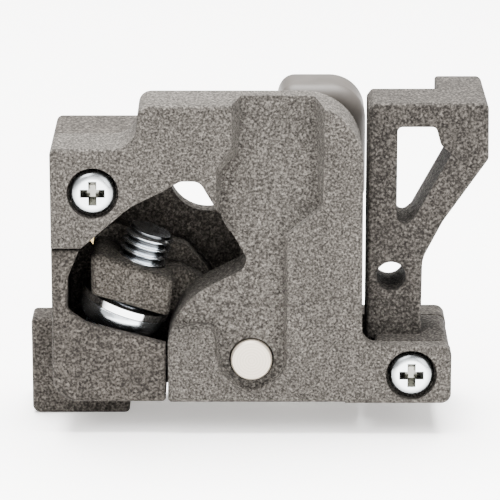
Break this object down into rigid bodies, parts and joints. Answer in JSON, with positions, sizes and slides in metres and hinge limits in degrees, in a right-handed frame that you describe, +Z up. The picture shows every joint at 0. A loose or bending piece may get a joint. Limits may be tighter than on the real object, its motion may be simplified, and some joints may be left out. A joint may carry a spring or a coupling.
{
  "type": "filament extruder gear assembly",
  "caption": "Compact filament extruder: a sintered nylon housing with a windowed cover, a spring tensioned idler rocker, meshing drive gears and a hinged release lever.",
  "frame": {"origin": "where the pivot pin's axis meets the rear mounting face", "axes": "+X to the release lever, +Y out of the rear mounting face, +Z up towards the filament inlet"},
  "size_m": [0.0555, 0.0292, 0.0409],
  "materials": {
    "cover_nylon": "grainy sintered nylon",
    "housing_nylon": "grainy sintered nylon, darker",
    "lever_nylon": "coarse sintered nylon",
    "black_plastic": "smooth moulded",
    "zinc_steel": "bright zinc",
    "chrome_steel": "polished",
    "pin_steel": "satin, turned face",
    "brass": "turned",
    "liner": "waxy white"
  },
  "bodies": {
    "housing": {"front_cover": "cover_nylon", "rear_housing": "housing_nylon", "base_bracket": "housing_nylon", "drive_cap": "black_plastic", "cover_screws": "zinc_steel", "screw_inserts": "brass", "mounting_inserts": "brass", "inlet_guide": "brass", "outlet_liner": "liner", "pivot_pin": "pin_steel", "front_bearing_outer_ring": "chrome_steel", "front_bearing_balls": "chrome_steel", "rear_bearing_outer_ring": "chrome_steel", "rear_bearing_balls": "chrome_steel", "tension_spring": "pin_steel", "spring_seat": "liner"},
    "drive": {"drive_shaft": "pin_steel", "drive_gear": "pin_steel", "shaft_collar": "brass", "front_bearing_inner_ring": "chrome_steel", "rear_bearing_inner_ring": "chrome_steel"},
    "rocker": {"rocker_arm": "housing_nylon", "idler_pin": "pin_steel"},
    "idler": {"idler_gear": "pin_steel", "idler_bush": "brass"},
    "tensioner": {"tension_screw": "zinc_steel", "head_washer": "chrome_steel", "spring_plate": "zinc_steel"},
    "lever": {"release_lever": "lever_nylon", "lever_bush": "brass"}
  },
  "joints": [
    {"name": "lever_hinge", "type": "hinge", "parent": "housing", "child": "lever", "pos_m": [0.0193, -0.0096, -0.0016], "axis": [0, 1, 0], "range_deg": [0, 28]},
    {"name": "rocker_pivot", "type": "hinge", "parent": "housing", "child": "rocker", "pos_m": [0, -0.0059, 0], "axis": [0, 1, 0], "range_deg": [-5.6, 0], "stiffness_Nm_per_rad": 0.05, "springref_deg": 17.19, "deforming": ["tension_spring"]},
    {"name": "drive_spin", "type": "hinge", "parent": "housing", "child": "drive", "pos_m": [0.00845, -0.005, 0.0205], "axis": [0, 1, 0], "continuous": true},
    {"name": "idler_spin", "type": "hinge", "parent": "rocker", "child": "idler", "pos_m": [0.00195, -0.005, 0.0205], "axis": [0, 1, 0], "continuous": true},
    {"name": "screw_travel", "type": "slide", "parent": "rocker", "child": "tensioner", "axis": [0.342, 0, 0.9397], "range_m": [-0.0012, 0], "deforming": ["tension_spring"]}
  ],
  "couplings": [
    {"joint": "rocker_pivot", "follows": "lever_hinge", "ratio": -0.2},
    {"joint": "idler_spin", "follows": "drive_spin", "ratio": -1}
  ]
}
